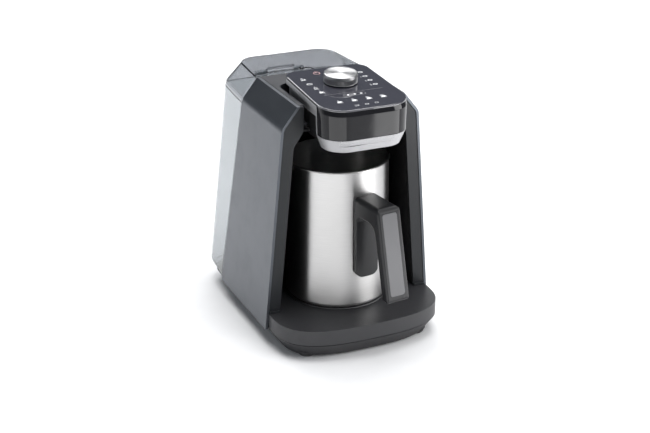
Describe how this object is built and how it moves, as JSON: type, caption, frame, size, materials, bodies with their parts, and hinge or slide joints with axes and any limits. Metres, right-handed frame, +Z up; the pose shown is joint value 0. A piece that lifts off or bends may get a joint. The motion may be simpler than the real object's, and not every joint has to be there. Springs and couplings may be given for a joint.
{
  "type": "electric Turkish coffee maker",
  "caption": "Electric coffee maker with a bay for one handled steel pot, a flat touch panel with a press-and-turn dial, and a lift-off clear water tank with a hinged lid behind.",
  "frame": {"origin": "centre of the whole object's box, on the plane of the rubber feet", "axes": "+Z up, -Y towards the front where the pot stands, +X to the right seen from the front"},
  "size_m": [0.1764, 0.263, 0.2607],
  "materials": {
    "shell_plastic": "satin grey paint over moulded plastic",
    "dark_plastic": "fine satin texture",
    "gloss_black": "polished",
    "silver_trim": "satin silver",
    "spun_aluminium": "spun, with circular marks",
    "brushed_steel": "brushed round the pot",
    "steel": "plain",
    "aluminium": "cast, lightly turned",
    "heater_steel": "heat-tinted",
    "rubber": "matt",
    "silicone": "milky silicone",
    "handle_plastic": "satin",
    "inlay_grey": "satin grey",
    "clear_tank": "clear, faintly smoked",
    "smoked_lid": "smoked, clear",
    "white_plastic": "plain",
    "sensor_black": "plain",
    "window_glass": "dark window",
    "circuit_board": "solder mask",
    "transformer_iron": "varnished laminations",
    "motor_steel": "zinc-plated can"
  },
  "bodies": {
    "housing": {"base_pan": "dark_plastic", "rubber_feet": "rubber", "base_screws": "steel", "base_deck": "dark_plastic", "heater_plate": "aluminium", "heating_element": "heater_steel", "heat_shield": "aluminium", "temperature_sensor": "white_plastic", "thermal_fuse": "sensor_black", "tank_platform": "dark_plastic", "dock_socket": "dark_plastic", "dock_seal": "rubber", "cord_gland": "dark_plastic", "right_side_shell": "shell_plastic", "left_side_shell": "shell_plastic", "right_column": "dark_plastic", "left_column": "dark_plastic", "bay_liner": "dark_plastic", "rear_wall": "shell_plastic", "shell_screws": "steel", "top_cover": "shell_plastic", "head_chassis": "dark_plastic", "head_fascia": "gloss_black", "head_frame": "silver_trim", "panel_tray": "dark_plastic", "control_plate": "gloss_black", "touch_board": "circuit_board", "encoder_body": "dark_plastic", "buzzer": "sensor_black", "water_nozzle": "white_plastic", "foam_sensor": "sensor_black", "sensor_window": "window_glass", "pump_bracket": "dark_plastic", "pump_mount": "rubber", "pump_head": "white_plastic", "pump_motor": "motor_steel", "suction_hose": "silicone", "delivery_hose": "silicone", "power_board": "circuit_board", "transformer": "transformer_iron", "relay": "sensor_black", "filter_capacitor": "sensor_black"},
    "dial_rotor": {"encoder_rotor": "steel"},
    "dial": {"knob_cap": "spun_aluminium", "knob_core": "silver_trim", "dial_shaft": "steel"},
    "pot": {"pot_body": "brushed_steel", "pot_base": "brushed_steel", "handle_bracket": "steel", "handle_screws": "steel", "pot_handle": "handle_plastic", "grip_inlay": "inlay_grey"},
    "tank": {"tank_body": "clear_tank", "valve_housing": "white_plastic", "strainer": "brushed_steel", "valve_spring": "steel"},
    "lid": {"tank_lid": "smoked_lid", "lid_pin": "steel"},
    "valve": {"valve_plunger": "white_plastic", "valve_seal": "rubber"}
  },
  "joints": [
    {"name": "dial_turn", "type": "hinge", "parent": "housing", "child": "dial_rotor", "pos_m": [0, -0.02838, 0.24993], "axis": [0, -0.0615, 0.9981], "continuous": true},
    {"name": "dial_press", "type": "slide", "parent": "dial_rotor", "child": "dial", "axis": [0, -0.0615, 0.9981], "range_m": [-0.0008, 0], "stiffness_N_per_m": 1500},
    {"name": "pot_out", "type": "slide", "parent": "housing", "child": "pot", "axis": [0, -1, 0], "range_m": [0, 0.15]},
    {"name": "tank_lift", "type": "slide", "parent": "housing", "child": "tank", "axis": [0, 0, 1], "range_m": [0, 0.24]},
    {"name": "lid_hinge", "type": "hinge", "parent": "tank", "child": "lid", "pos_m": [0, 0.12534, 0.2172], "axis": [-1, 0, 0], "range_deg": [0, 95]},
    {"name": "valve_press", "type": "slide", "parent": "tank", "child": "valve", "axis": [0, 0, 1], "range_m": [0, 0.0015], "stiffness_N_per_m": 300, "deforming": ["valve_spring"]}
  ]
}
